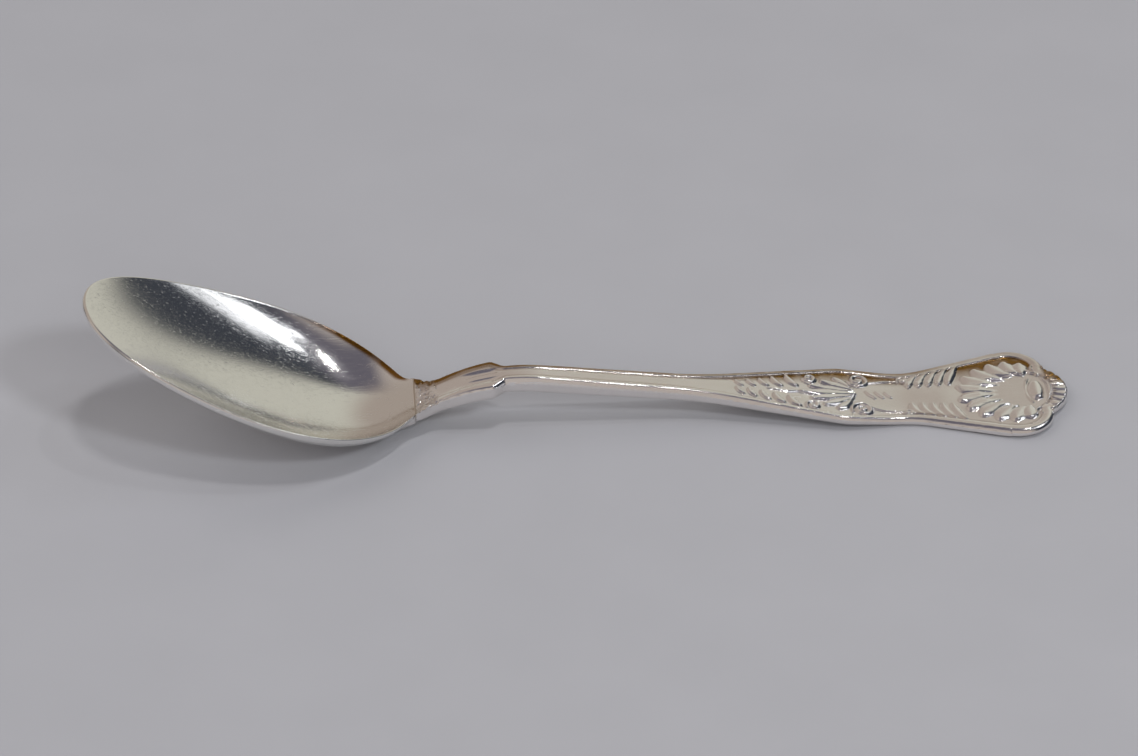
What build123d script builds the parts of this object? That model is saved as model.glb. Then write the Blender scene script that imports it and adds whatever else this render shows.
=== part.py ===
"""A teaspoon of old silver: a struck bowl soldered to a struck handle with thread edges and a shell end.

The spoon lies as it does on a table. X runs from the tip of the bowl to the shell end of the handle,
Z is up from the table, and the spoon is the same on both sides of the plane Y = 0. Sizes are in mm.
"""
import math
import os

from build123d import *

# Bowl, measured in the plane of its rim; "towards the heel" means that the tip loses as much
BOWL_RUN = 45.15  # joint to tip, along the table
RIM_TILT = 23.3  # degrees that the rim rises from the joint to the tip
RIM_SAG = 0.95  # dip of the rim below a straight line, halfway along
BOWL_HALF_WIDTH = 15.35  # half-width of the egg shape, halfway along the bowl
HEEL_SPREAD = 2.15  # half-width gained towards the heel
END_SPREAD = 0.45  # half-width gained towards both ends
HEEL_POINT = 2.1  # half-width lost again close to the heel
BOWL_DEPTH = 4.0  # depth inside, halfway along
HEEL_DEPTH = 3.4  # depth gained towards the heel
END_DEPTH = 1.25  # depth gained towards both ends
FULLNESS = 0.26  # how much the sides swell beyond a plain parabola, halfway along
HEEL_FULLNESS = 0.72  # swell gained towards the heel
BOWL_WALL = 0.75  # thickness of the metal in the bowl

# Joint between bowl and handle
JOINT_HEIGHT = 3.42  # floor of the bowl above the table, at the joint
JOINT_WIDTH = 9.0  # bowl and handle across the joint
SOLDER_GAP = 0.15  # thickness of the solder
TONGUE_LENGTH = 10.5  # tongue under the bowl, past the joint
TONGUE_WIDTH = 6.0  # tongue at its root
TONGUE_END_WIDTH = 4.4  # tongue at its rounded end
HEEL_AT = 3.4  # joint to the near end of the flat on which the tongue rests
HEEL_FLAT = 5.6  # length of that flat
HEEL_RADIUS = 4.0
TAIL_LIFT = 0.35  # end of the tongue above the table
TAIL_RADIUS = 8.0

# Handle seen from the side: places measured from the joint, heights above the table
HANDLE_RUN = 92.4  # joint to the end of the shell
NECK_STEP = 1.6  # edges of the neck above the floor of the bowl, at the joint
NECK_RISE_AT = 2.0  # where the edges of the neck begin to rise
NECK_RISE_TOP = 5.1
NECK_RISE_RADIUS = 3.0
NECK_HOLLOW_RADIUS = 12.0  # channel that carries the floor of the bowl on along the neck
NECK_HOLLOW_SLOPE = 26.5  # degrees that the channel rises
NECK_BELLY_RADIUS = 6.2  # rounded underside of the neck, which fades out towards the stem
NECK_BELLY_SLOPE = 15.0  # degrees that this rounding rises
ARCH_AT = 12.1  # where the lines of neck and stem would meet
ARCH_TOP = 8.6
ARCH_RADIUS = 26.0
DIP_BACK = 24.9  # end of the shell back to where the stem levels out
DIP_TOP = 1.3
DIP_RADIUS = 40.0
TIP_TOP = 1.7
ARCH_THICKNESS = 2.6
NECK_UNDER_AT = 2.6  # where the rise from the heel meets the underside of the neck
NECK_UNDER = 2.9
NECK_UNDER_RADIUS = 10.0
REST_BACK = 24.4  # end of the shell back to the start of the flat on which the end rests
REST_LENGTH = 14.0
TIP_THICKNESS = 1.15

# Handle seen from above: places measured from the joint, or back from the end of the shell
NECK_AT = 2.6
NECK_WIDTH = 5.5
NECK_RADIUS = 4.0
SHOULDER_AT = 11.0
SHOULDER_WIDTH = 6.7
SHOULDER_RADIUS = 1.2
STEM_AT = 12.8
STEM_WIDTH = 3.9
SPREAD_AT = 40.0  # where the stem begins to spread
SPREAD_WIDTH = 4.6
SPREAD_RADIUS = 50.0
BULGE_BACK = 32.2
BULGE_WIDTH = 12.9
BULGE_RADIUS = 10.0
WAIST_BACK = 22.4
WAIST_WIDTH = 11.5
WAIST_RADIUS = 12.0
LOBE_BACK = 7.6  # centre of the round sides of the end
LOBE_WIDTH = 20.2
LOBE_RADIUS = 5.0
HORN_ANGLE = 11.5  # degrees, where the round side stops at the corner beside the shell
NOTCH = 0.5
SHELL_WIDTH = 10.8

# Struck face of the handle
BORDER_WIDTH = 0.8  # raised thread along the edges
FIELD_DEPTH = 0.32  # sunk field below the thread
RELIEF_RISE = 0.34  # ornament above the field
RELIEF_ROOT = 0.2  # depth that the ornament is carried down into the metal
RELIEF_SLOPE = 22.0  # degrees that the sides of the ornament lean in

# Shell at the end of the handle, measured back from the end
SHELL_EYE = 8.4
SHELL_LOBES = 9
SHELL_LOBE_STEP = 28.0  # degrees between the lobes
SHELL_LOBE_INNER = 2.6  # eye to the tail of a lobe
SHELL_LOBE_LENGTH = 3.9
SHELL_LOBE_WIDTH = 1.8
FLUTES = 7
FLUTE_STEP = 15.5
FLUTE_LENGTH = 2.6
FLUTE_WIDTH = 1.3
BOSS_BACK = 4.4
BOSS_LENGTH = 5.0
BOSS_WIDTH = 1.8
CURL_BACK = 4.3
CURL_APART = 9.2
CURL_WIDTH = 2.6

# Leaves on the flare of the end and palmette on the first swelling, measured back from the end
LEAF_BACK = 20.2
LEAF_FINGERS = 4
LEAF_STEP = 1.3
LEAF_APART = 6.6  # between the roots of the two leaves
LEAF_HEADING = 56.0  # degrees from the length of the handle
LEAF_LENGTH = 2.9
LEAF_WIDTH = 1.15
PALMETTE_BACK = 31.0
PALMETTE_PETALS = 5
PALMETTE_STEP = 27.0
PALMETTE_INNER = 1.2
PALMETTE_LENGTH = 5.4
PALMETTE_SHORTENING = 0.75  # each petal against the one before it, outwards
PALMETTE_WIDTH = 1.4
SCROLL_BACK = 29.8
SCROLL_APART = 7.0
SCROLL_WIDTH = 3.0

# Positions that follow from the sizes above
TILT = math.radians(RIM_TILT)
TIP_X = (BOWL_WALL * math.sin(TILT) - BOWL_RUN - HANDLE_RUN) / 2
JOINT_X = TIP_X + BOWL_RUN
END_X = JOINT_X + HANDLE_RUN
RIM_LENGTH = BOWL_RUN / math.cos(TILT)
RIM = Plane(
    origin=(JOINT_X, 0, JOINT_HEIGHT),
    x_dir=(-math.cos(TILT), 0, math.sin(TILT)),
    z_dir=(math.sin(TILT), 0, math.cos(TILT)),
)
DIP_AT = HANDLE_RUN - DIP_BACK
REST_AT = HANDLE_RUN - REST_BACK
BULGE_AT = HANDLE_RUN - BULGE_BACK
WAIST_AT = HANDLE_RUN - WAIST_BACK
LOBE_AT = HANDLE_RUN - LOBE_BACK
HIGH = 40.0


def egg_width(share):
    """Half-width of the oval that the rim follows, at a share of the way from its middle to the tip."""
    return BOWL_HALF_WIDTH - HEEL_SPREAD * share + END_SPREAD * share**2 + HEEL_POINT * share**3


def bowl_floor(share, across):
    """Height of the bowl's inner face over the plane of the rim, negative inside the bowl."""
    depth = BOWL_DEPTH - HEEL_DEPTH * share + END_DEPTH * share**2
    fullness = FULLNESS - HEEL_FULLNESS * share
    part = share**2 + (across / egg_width(share)) ** 2
    return -depth * (1 - part) * (1 + fullness * part) - RIM_SAG * (1 - share**2)


def bowl_face():
    """Inner face of the bowl, carried on a little past the rim all round."""
    rows = []
    for i in range(9):
        share = -1.08 + 2.11 * i / 8
        reach = 1.13 * BOWL_HALF_WIDTH * (1 - 0.53 * share**2)
        along = RIM_LENGTH * (1 + share) / 2
        across = [reach * (k / 4 - 1) for k in range(9)]
        rows.append([Vector(along, y, bowl_floor(share, y)) for y in across])
    return RIM.location * Face.make_surface_from_array_of_points(rows, tol=0.01, min_deg=3, max_deg=8)


def rim_point(angle):
    """Place on the rim at an angle from the tip: an egg shape, eased into the joint's width at the heel."""
    share = math.cos(angle)
    egg = egg_width(share) * abs(math.sin(angle))
    throat = JOINT_WIDTH / 2 * ((1 - share) / 2) ** 4
    return (RIM_LENGTH * (1 + share) / 2, math.copysign((egg**4 + throat**4) ** 0.25, angle))


def rim_prism():
    """The rim's outline seen square to the rim, run on past the joint, as a solid block."""
    rim = Spline(*[rim_point(math.pi * (i / 10 - 1)) for i in range(21)])
    half = JOINT_WIDTH / 2
    heel = Polyline(rim @ 1, (-2, half), (-2, -half), rim @ 0)
    return RIM.location * extrude(make_face([rim, heel]), amount=HIGH / 2, both=True)


def block(x_from, x_to):
    """A block between two places along X, larger than the spoon in the other directions."""
    return Pos((x_from + x_to) / 2, 0, 0) * Box(x_to - x_from, 2 * HIGH, 3 * HIGH)


def rounded(*corners):
    """Lines through rounded corners, each given as (from the joint, sideways or up, radius)."""
    points = [Vector(JOINT_X + x, y) for x, y, _ in corners]
    edges = []
    start = points[0]
    for i in range(1, len(points) - 1):
        back = (points[i - 1] - points[i]).normalized()
        on = (points[i + 1] - points[i]).normalized()
        middle = (back + on).normalized()
        half = math.radians(back.get_angle(on)) / 2
        radius = corners[i][2]
        cut = radius / math.tan(half)
        first, last = points[i] + back * cut, points[i] + on * cut
        crest = points[i] + middle * (radius / math.sin(half) - radius)
        edges += [Line(start, first), ThreePointArc(first, crest, last)]
        start = last
    return [*edges, Line(start, points[-1])]


def top_line(drop=0.0):
    """Top of the handle from the joint to the shell, or the same line lower by the drop."""
    return rounded(
        (0, JOINT_HEIGHT + NECK_STEP - drop, 0),
        (NECK_RISE_AT, NECK_RISE_TOP - drop, NECK_RISE_RADIUS),
        (ARCH_AT, ARCH_TOP - drop, ARCH_RADIUS),
        (DIP_AT, DIP_TOP - drop, DIP_RADIUS),
        (HANDLE_RUN + 1, TIP_TOP - drop, 0),
    )


def handle_side():
    """The handle seen from the side, with its tongue run on up through the bowl, as a flat face."""
    heel_end = HEEL_AT + HEEL_FLAT
    bottom = rounded(
        (-TONGUE_LENGTH - 1, TAIL_LIFT, 0),
        (-heel_end, 0, TAIL_RADIUS),
        (-HEEL_AT, 0, HEEL_RADIUS),
        (NECK_UNDER_AT, NECK_UNDER, NECK_UNDER_RADIUS),
        (ARCH_AT, ARCH_TOP - ARCH_THICKNESS, ARCH_RADIUS - ARCH_THICKNESS),
        (REST_AT, 0, DIP_RADIUS),
        (REST_AT + REST_LENGTH, 0, DIP_RADIUS),
        (HANDLE_RUN + 1, TIP_TOP - TIP_THICKNESS, 0),
    )
    top = top_line()
    end = Line(bottom[-1] @ 1, top[-1] @ 1)
    ceiling = JOINT_HEIGHT + 1
    back = Polyline(bottom[0] @ 0, ((bottom[0] @ 0).X, ceiling), (JOINT_X, ceiling), top[0] @ 0)
    return Plane.XZ * make_face([*bottom, *top, end, back])


def neck_round(radius, slope, height):
    """A long round bar over the neck, whose lowest line leaves the joint at a height and rises at a slope."""
    angle = math.radians(slope)
    middle = Vector(JOINT_X, 0, height) + Vector(-math.sin(angle), 0, math.cos(angle)) * radius
    line = Plane(middle, z_dir=(math.cos(angle), 0, math.sin(angle)))
    return line.location * Cylinder(radius, 2 * HIGH)


def neck_waste():
    """Metal taken off the neck: the channel along its top, and the corners along its underside."""
    under = NECK_UNDER * HEEL_AT / (HEEL_AT + NECK_UNDER_AT)
    hollow = neck_round(NECK_HOLLOW_RADIUS, NECK_HOLLOW_SLOPE, JOINT_HEIGHT) & block(JOINT_X, JOINT_X + HIGH)
    belly = neck_round(NECK_BELLY_RADIUS, NECK_BELLY_SLOPE, under)
    return hollow + (block(JOINT_X, JOINT_X + SHOULDER_AT) - belly)


def half_outline(inset=0.0):
    """One side of the outline from the joint to the corner beside the shell, moved in by the inset."""
    centre = Vector(JOINT_X + LOBE_AT, LOBE_WIDTH / 2 - LOBE_RADIUS)
    waist = Vector(JOINT_X + WAIST_AT, WAIST_WIDTH / 2 - inset)
    radius = LOBE_RADIUS - inset
    to_waist = waist - centre
    lean = math.atan2(to_waist.Y, to_waist.X) % (2 * math.pi) - math.acos(radius / to_waist.length)
    touch = centre + Vector(math.cos(lean), math.sin(lean)) * radius
    path = rounded(
        (0, JOINT_WIDTH / 2 - inset, 0),
        (NECK_AT, NECK_WIDTH / 2 - inset, NECK_RADIUS),
        (SHOULDER_AT, SHOULDER_WIDTH / 2 - inset, SHOULDER_RADIUS),
        (STEM_AT, STEM_WIDTH / 2 - inset, SHOULDER_RADIUS),
        (SPREAD_AT, SPREAD_WIDTH / 2 - inset, SPREAD_RADIUS),
        (BULGE_AT, BULGE_WIDTH / 2 - inset, BULGE_RADIUS),
        (WAIST_AT, WAIST_WIDTH / 2 - inset, WAIST_RADIUS),
        (touch.X - JOINT_X, touch.Y, 0),
    )
    horn = math.radians(HORN_ANGLE)
    middle = (lean + horn) / 2
    crest, corner = [centre + Vector(math.cos(a), math.sin(a)) * radius for a in (middle, horn)]
    return [*path, ThreePointArc(touch, crest, corner)]


def both_sides(edges):
    """The edges with their mirror twins across the handle."""
    return [*edges, *[mirror(edge, about=Plane.XZ) for edge in edges]]


def handle_outline():
    """The handle and its tongue seen from above, as a flat face."""
    side = half_outline()
    end = JOINT_X - TONGUE_LENGTH
    half_end = TONGUE_END_WIDTH / 2
    step = Polyline((end + half_end, half_end), (JOINT_X, TONGUE_WIDTH / 2), side[0] @ 0)
    shell_x = (side[-1] @ 1).X - NOTCH
    notch = Line(side[-1] @ 1, (shell_x, SHELL_WIDTH / 2))
    shell = ThreePointArc(notch @ 1, (END_X, 0), (shell_x, -SHELL_WIDTH / 2))
    tip = ThreePointArc((end + half_end, half_end), (end, 0), (end + half_end, -half_end))
    return make_face([*both_sides([step, *side, notch]), shell, tip])


def field_outline():
    """The sunk field inside the thread, from the start of the stem to the shell, as a flat face."""
    side = half_outline(BORDER_WIDTH)[6:]
    root, corner = side[0] @ 0, side[-1] @ 1
    start = Line(root, (root.X, -root.Y))
    finish = ThreePointArc(corner, (END_X - BORDER_WIDTH, 0), (corner.X, -corner.Y))
    return make_face([*both_sides(side), start, finish])


def above(drop):
    """All the room over the handle's top line lowered by the drop."""
    line = top_line(drop)
    start, finish = line[0] @ 0, line[-1] @ 1
    lid = Polyline(start, (start.X, HIGH), (finish.X, HIGH), finish)
    return extrude(Plane.XZ * make_face([*line, lid]), amount=HIGH / 2, both=True)


def on_field(x, y, heading):
    """A place a little below the sunk field, square to it and turned to a heading in degrees."""
    if x > JOINT_X + DIP_AT:
        slope = (TIP_TOP - DIP_TOP) / (HANDLE_RUN + 1 - DIP_AT)
    else:
        slope = (DIP_TOP - ARCH_TOP) / (DIP_AT - ARCH_AT)
    height = DIP_TOP - FIELD_DEPTH - RELIEF_ROOT + slope * (x - JOINT_X - DIP_AT)
    angle = math.radians(heading)
    ahead = (math.cos(angle), math.sin(angle), slope * math.cos(angle))
    return Plane((x, y, height), x_dir=ahead, z_dir=(-slope, 0, 1)).location


def pad(outline):
    """A raised pad with leaning sides on an outline."""
    return extrude(outline, amount=RELIEF_ROOT + RELIEF_RISE, taper=RELIEF_SLOPE)


def petal(length, width):
    """A drop-shaped pad lying along X, with its tail at the origin and its blunt head at the far end."""
    half = width / 2
    side = [(0, 0), (length - half, -half), (length, -half / 2)]
    return pad(make_face(Polyline(*side, *[(x, -y) for x, y in reversed(side)])))


def petals(x, y, heading, length, width):
    """A petal at a place on the field, with its twin across the handle unless it lies on the middle line."""
    body = petal(length, width)
    twins = [on_field(x, y, heading) * body]
    if abs(y) > 0.01:
        twins.append(on_field(x, -y, -heading) * body)
    return twins


def fan(x, heading, count, step, inner, length, width, shortening=1.0):
    """Petals spread evenly about an eye on the middle line, the middle one along the heading."""
    pieces = []
    for i in range(count // 2 + 1):
        turn = heading - step * i
        angle = math.radians(turn)
        reach = length * shortening**i
        pieces += petals(x + inner * math.cos(angle), inner * math.sin(angle), turn, reach, width)
    return pieces


def buttons(x, apart, width):
    """A pair of round pads, where the scrolls of the ornament curl up."""
    return [on_field(x, y, 0) * pad(Circle(width / 2)) for y in (apart / 2, -apart / 2)]


def shell_relief():
    """The shell: lobes round a hollow eye, an oval boss, two curls and the flutes at the end."""
    arc_depth = HANDLE_RUN - LOBE_AT - LOBE_RADIUS * math.cos(math.radians(HORN_ANGLE)) + NOTCH
    arc_radius = (arc_depth**2 + (SHELL_WIDTH / 2) ** 2) / (2 * arc_depth)
    eye = END_X - SHELL_EYE
    lobe = (SHELL_LOBE_LENGTH, SHELL_LOBE_WIDTH)
    flute = (FLUTE_LENGTH, FLUTE_WIDTH)
    pieces = fan(eye, 180, SHELL_LOBES, SHELL_LOBE_STEP, SHELL_LOBE_INNER, *lobe)
    pieces += fan(END_X - arc_radius, 0, FLUTES, FLUTE_STEP, arc_radius - FLUTE_LENGTH, *flute)
    pieces += buttons(END_X - CURL_BACK, CURL_APART, CURL_WIDTH)
    return [*pieces, on_field(END_X - BOSS_BACK, 0, 90) * pad(SlotOverall(BOSS_LENGTH, BOSS_WIDTH))]


def leaf_relief():
    """The leaves on the flare of the end, and the palmette and scrolls on the first swelling."""
    pieces = []
    for i in range(LEAF_FINGERS):
        root = END_X - LEAF_BACK + LEAF_STEP * i
        pieces += petals(root, LEAF_APART / 2, LEAF_HEADING, LEAF_LENGTH, LEAF_WIDTH)
    eye = END_X - PALMETTE_BACK
    reach, narrow = PALMETTE_LENGTH, PALMETTE_SHORTENING
    pieces += fan(eye, 180, PALMETTE_PETALS, PALMETTE_STEP, PALMETTE_INNER, reach, PALMETTE_WIDTH, narrow)
    return [*pieces, *buttons(END_X - SCROLL_BACK, SCROLL_APART, SCROLL_WIDTH)]


face = bowl_face()
rim_up = RIM.z_dir
inside = extrude(face, amount=HIGH / 2, dir=rim_up)
wall = extrude(face, amount=BOWL_WALL, dir=-rim_up)
wall_and_solder = extrude(face, amount=BOWL_WALL + SOLDER_GAP, dir=-rim_up)
bowl = wall & rim_prism() & block(TIP_X - 5, JOINT_X)

side_bar = extrude(handle_side(), amount=HIGH / 2, both=True)
blank = (side_bar & extrude(handle_outline(), amount=HIGH)) - neck_waste()
bowl_room = (wall_and_solder + inside) & block(TIP_X - 5, JOINT_X + SOLDER_GAP)
solder = (blank & bowl_room) - ((wall + inside) & block(TIP_X - 5, JOINT_X))
field = extrude(field_outline(), amount=HIGH) & above(FIELD_DEPTH)
handle = (blank - bowl_room - field).fuse(*shell_relief(), *leaf_relief())

os.makedirs("parts", exist_ok=True)
export_step(bowl, "parts/bowl.step")
export_step(handle, "parts/handle.step")
export_step(solder, "parts/solder_joint.step")
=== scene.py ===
"""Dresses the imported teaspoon: polished bowl, struck handle, solder seam and a small studio."""
import logging
import math
from dataclasses import dataclass, field
from enum import Enum

import bpy
import numpy as np
from mathutils import Matrix, Vector
from mathutils.kdtree import KDTree


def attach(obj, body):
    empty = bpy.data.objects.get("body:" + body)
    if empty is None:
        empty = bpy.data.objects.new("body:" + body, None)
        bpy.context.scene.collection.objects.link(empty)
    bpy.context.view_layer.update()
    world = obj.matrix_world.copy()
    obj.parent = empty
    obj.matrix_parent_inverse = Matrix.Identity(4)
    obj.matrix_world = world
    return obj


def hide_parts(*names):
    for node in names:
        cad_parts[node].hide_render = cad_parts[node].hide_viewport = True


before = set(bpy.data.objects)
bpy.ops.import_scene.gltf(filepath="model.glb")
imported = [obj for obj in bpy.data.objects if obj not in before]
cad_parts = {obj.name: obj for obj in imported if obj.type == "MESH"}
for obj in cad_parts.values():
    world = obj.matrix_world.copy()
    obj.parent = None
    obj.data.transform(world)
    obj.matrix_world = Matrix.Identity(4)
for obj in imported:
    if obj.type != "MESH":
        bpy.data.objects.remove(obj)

LOG = logging.getLogger("teaspoon")
MM = 0.001
Array = np.ndarray
Tree = bpy.types.NodeTree
Socket = bpy.types.NodeSocket
Piece = bpy.types.Object
Point = tuple[float, float]
Line = tuple[Point, ...]
Corner = tuple[float, float, float]  # a place in X and Y, with a radius or a size
Span = tuple[float, float]  # where something begins, and where it is complete


class Slot(Enum):
    """Names of the record's material slots for the bowl and the handle; the dressed pieces do not take them.
    """

    BOWL = "bowl_silver"
    HANDLE = "handle_silver"


class Side(Enum):
    """The two sides of the handle, as the sign of Y."""

    NEAR = -1
    FAR = 1


def linear(code: str) -> tuple[float, float, float, float]:
    """Turns an sRGB colour, six hex digits after a number sign, into linear RGBA."""
    parts = [int(code[i : i + 2], 16) / 255 for i in (1, 3, 5)]
    return (*[p / 12.92 if p <= 0.04045 else ((p + 0.055) / 1.055) ** 2.4 for p in parts], 1.0)


def add_node(tree: Tree, kind: str, links: dict | None = None, **settings: object) -> bpy.types.Node:
    """Adds a node, sets its properties and sockets, and links its inputs.

    Args:
        tree: Node tree of the material or world.
        kind: Type name of the node.
        links: Input name or number against an output socket or a plain value.
        **settings: Properties of the node itself.

    Returns:
        The new node.
    """
    node = tree.nodes.new(kind)
    for name, value in settings.items():
        setattr(node, name, value)
    for name, value in (links or {}).items():
        socket = node.inputs[name]
        if isinstance(value, Socket):
            tree.links.new(value, socket)
        else:
            socket.default_value = value
    return node


def add_math(tree: Tree, operation: str, *values: Socket | float, clamp: bool = False) -> Socket:
    """Adds a calculation with two or three values, and gives its output."""
    links = dict(enumerate(values))
    return add_node(tree, "ShaderNodeMath", links, operation=operation, use_clamp=clamp).outputs[0]


def add_noise(tree: Tree, place: Socket, size_mm: float, detail: float, roughness: float = 0.5) -> Socket:
    """Adds cloudy noise with features of a size in millimetres, and gives its output."""
    cloud = {"Vector": place, "Scale": 1 / (size_mm * MM), "Detail": detail, "Roughness": roughness}
    return add_node(tree, "ShaderNodeTexNoise", cloud).outputs["Fac"]


def add_mix(tree: Tree, share: Socket, first: object, second: object) -> Socket:
    """Adds a mix of two colours by the share of the second, and gives its output."""
    return add_node(tree, "ShaderNodeMix", {0: share, 6: first, 7: second}, data_type="RGBA").outputs[2]


def ramp(low: float, high: float, value: Array) -> Array:
    """Rises from 0 at the low value to 1 at the high value with level ends."""
    t = np.clip((value - low) / (high - low), 0.0, 1.0)
    return t * t * (3 - 2 * t)


def mesh_object(name: str, points: Array, faces: list[tuple[int, ...]]) -> Piece:
    """Makes a smooth-shaded mesh object from points in millimetres.

    Args:
        name: Name of the piece.
        points: Array of points, one row each.
        faces: Corner numbers of each face.

    Returns:
        The new object, linked to the scene.
    """
    mesh = bpy.data.meshes.new(name)
    mesh.from_pydata((points * MM).tolist(), [], faces)
    mesh.polygons.foreach_set("use_smooth", [True] * len(mesh.polygons))
    mesh.update()
    piece = bpy.data.objects.new(name, mesh)
    bpy.context.scene.collection.objects.link(piece)
    return piece


def paint(piece: Piece, name: str, values: Array) -> None:
    """Stores one number per point of a piece under a name that its finish reads."""
    layer = piece.data.attributes.new(name, "FLOAT", "POINT")
    layer.data.foreach_set("value", np.asarray(values, dtype=np.float32))


def wrap_grid(rows: int, columns: int) -> list[tuple[int, ...]]:
    """Faces of a grid that closes on itself along its columns.

    Args:
        rows: Number of rows of points.
        columns: Number of points in each row.

    Returns:
        Corner numbers of each four-sided face.
    """
    faces = []
    for i in range(rows - 1):
        low, high = i * columns, (i + 1) * columns
        for k in range(columns):
            n = (k + 1) % columns
            faces.append((low + k, low + n, high + n, high + k))
    return faces


@dataclass(frozen=True)
class Rounded:
    """A line through corners, each rounded by its own radius, read as a height over X."""

    corners: tuple[Corner, ...]

    def at(self, x: Array) -> Array:
        """Height of the line.

        Args:
            x: Places along the line.

        Returns:
            Heights at these places.
        """
        pts = [np.array(c[:2]) for c in self.corners]
        y = np.interp(x, [p[0] for p in pts], [p[1] for p in pts])
        for i in range(1, len(pts) - 1):
            back = (pts[i - 1] - pts[i]) / np.linalg.norm(pts[i - 1] - pts[i])
            on = (pts[i + 1] - pts[i]) / np.linalg.norm(pts[i + 1] - pts[i])
            half = math.acos(float(np.clip(back @ on, -1, 1))) / 2
            middle = (back + on) / np.linalg.norm(back + on)
            radius = self.corners[i][2]
            centre = pts[i] + middle * radius / math.sin(half)
            cut = radius / math.tan(half)
            low, high = pts[i][0] + back[0] * cut, pts[i][0] + on[0] * cut
            rise = np.sqrt(np.maximum(radius**2 - (x - centre[0]) ** 2, 0))
            y = np.where((x > low) & (x < high), centre[1] - math.copysign(1, middle[1]) * rise, y)
        return y


@dataclass(frozen=True)
class PolishedSilver:
    """Sterling silver, struck and hand-polished.

    A bright mirror, slightly warm, with a veil of fine wiping scratches that blur it, and a yellow-brown
    bloom that is real tarnish where the cloth never reaches and painted reflection along the far edges.
    """

    name: str = "sterling_silver_polished"
    silver: str = "#EFEDE9"
    # brown of tarnish, also used for the painted reflection of a warm part of the room
    tarnish_and_reflection: str = "#8A6228"
    roughness: float = 0.14
    worn_roughness: float = 0.38
    tarnish_and_reflection_roughness: float = 0.12
    scratch_gap_mm: float = 0.32
    scratch_stretch: float = 20.0
    scratch_turns_deg: tuple[float, ...] = (20, 62, 118, 155)
    scratch_edge: Span = (0.58, 0.7)
    scratch_share: float = 0.5
    scratch_bump: float = 0.18
    bump_depth_mm: float = 0.03
    bloom_mm: float = 5.0
    bloom_gain: float = 1.3
    bloom_least: float = 0.35
    pit_mm: float = 0.35
    pit_strength: float = 40.0

    def make(self) -> bpy.types.Material:
        """Builds the material.

        Returns:
            The material.
        """
        material = bpy.data.materials.new(self.name)
        material.use_nodes = True
        tree = material.node_tree
        shader = tree.nodes["Principled BSDF"]
        shader.inputs["Metallic"].default_value = 1.0
        place = add_node(tree, "ShaderNodeTexCoord").outputs["Object"]
        amount = self.tarnish_and_reflection_share(tree, place)
        colour = add_mix(tree, amount, linear(self.silver), linear(self.tarnish_and_reflection))
        tree.links.new(colour, shader.inputs["Base Color"])
        scratches = self.scratches(tree, place)
        worn = {"Value": scratches, "To Min": self.roughness, "To Max": self.worn_roughness}
        rough = add_node(tree, "ShaderNodeMapRange", worn).outputs[0]
        dull = add_math(tree, "MULTIPLY_ADD", amount, self.tarnish_and_reflection_roughness, rough)
        tree.links.new(dull, shader.inputs["Roughness"])
        height = add_math(tree, "ADD", self.pits(tree, place), scratches)
        depth = self.bump_depth_mm * MM
        raised = {"Height": height, "Strength": self.scratch_bump, "Distance": depth}
        bump = add_node(tree, "ShaderNodeBump", raised)
        tree.links.new(bump.outputs[0], shader.inputs["Normal"])
        return material

    def tarnish_and_reflection_share(self, tree: Tree, place: Socket) -> Socket:
        """Adds the tarnish and painted reflection that the piece asks for, broken up by a soft bloom.

        Args:
            tree: Node tree.
            place: Position socket in metres.

        Returns:
            Socket with the share of tarnish and painted reflection.
        """
        # share stored on the piece: tarnish in hollows and painted reflection on far edges
        asked = add_node(tree, "ShaderNodeAttribute", attribute_name="tarnish_and_reflection").outputs["Fac"]
        bloom = add_noise(tree, place, self.bloom_mm, detail=5.0)
        patchy = add_math(tree, "MULTIPLY_ADD", bloom, self.bloom_gain, self.bloom_least)
        return add_math(tree, "MULTIPLY", asked, patchy, clamp=True)

    def pits(self, tree: Tree, place: Socket) -> Socket:
        """Adds the small pits that heat leaves beside a soldered seam, where the piece says that they are.

        Args:
            tree: Node tree.
            place: Position socket in metres.

        Returns:
            Socket with the height of the pitted metal.
        """
        where = add_node(tree, "ShaderNodeAttribute", attribute_name="pits").outputs["Fac"]
        grain = add_noise(tree, place, self.pit_mm, detail=1.0)
        strong = add_math(tree, "MULTIPLY", where, self.pit_strength)
        return add_math(tree, "MULTIPLY", strong, grain)

    def scratches(self, tree: Tree, place: Socket) -> Socket:
        """Adds hairline scratches in several directions, drawn coarser than the real ones so that they show.

        Args:
            tree: Node tree.
            place: Position socket in metres.

        Returns:
            Socket with the scratch height.
        """
        total: Socket | None = None
        stretch = self.scratch_stretch
        length = stretch * self.scratch_gap_mm
        low, high = self.scratch_edge
        for i, turn in enumerate(self.scratch_turns_deg):
            way = {"Rotation": (0.0, 0.0, math.radians(turn)), "Scale": (1.0, stretch, stretch)}
            turned = add_node(tree, "ShaderNodeMapping", {"Vector": place, "Location": (i, i, 0), **way})
            hair = add_noise(tree, turned.outputs[0], length, detail=3.0, roughness=0.7)
            cut = {"Value": hair, "From Min": low, "From Max": high, "To Max": self.scratch_share}
            line = add_node(tree, "ShaderNodeMapRange", cut).outputs[0]
            total = line if total is None else add_math(tree, "ADD", total, line)
        return total


@dataclass(frozen=True)
class StruckSilver(PolishedSilver):
    """Sterling silver struck in a die.

    Soft bright crests, grey satin fields, brown tarnish in the hollows and painted brown reflection on the
    far side.
    """

    name: str = "sterling_silver_struck"
    silver: str = "#F4F1EF"
    # brown of tarnish, also used for the painted reflection on the far side
    tarnish_and_reflection: str = "#8E6A30"
    roughness: float = 0.15
    worn_roughness: float = 0.28
    scratch_gap_mm: float = 0.35
    scratch_bump: float = 0.3
    bloom_mm: float = 2.5


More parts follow.
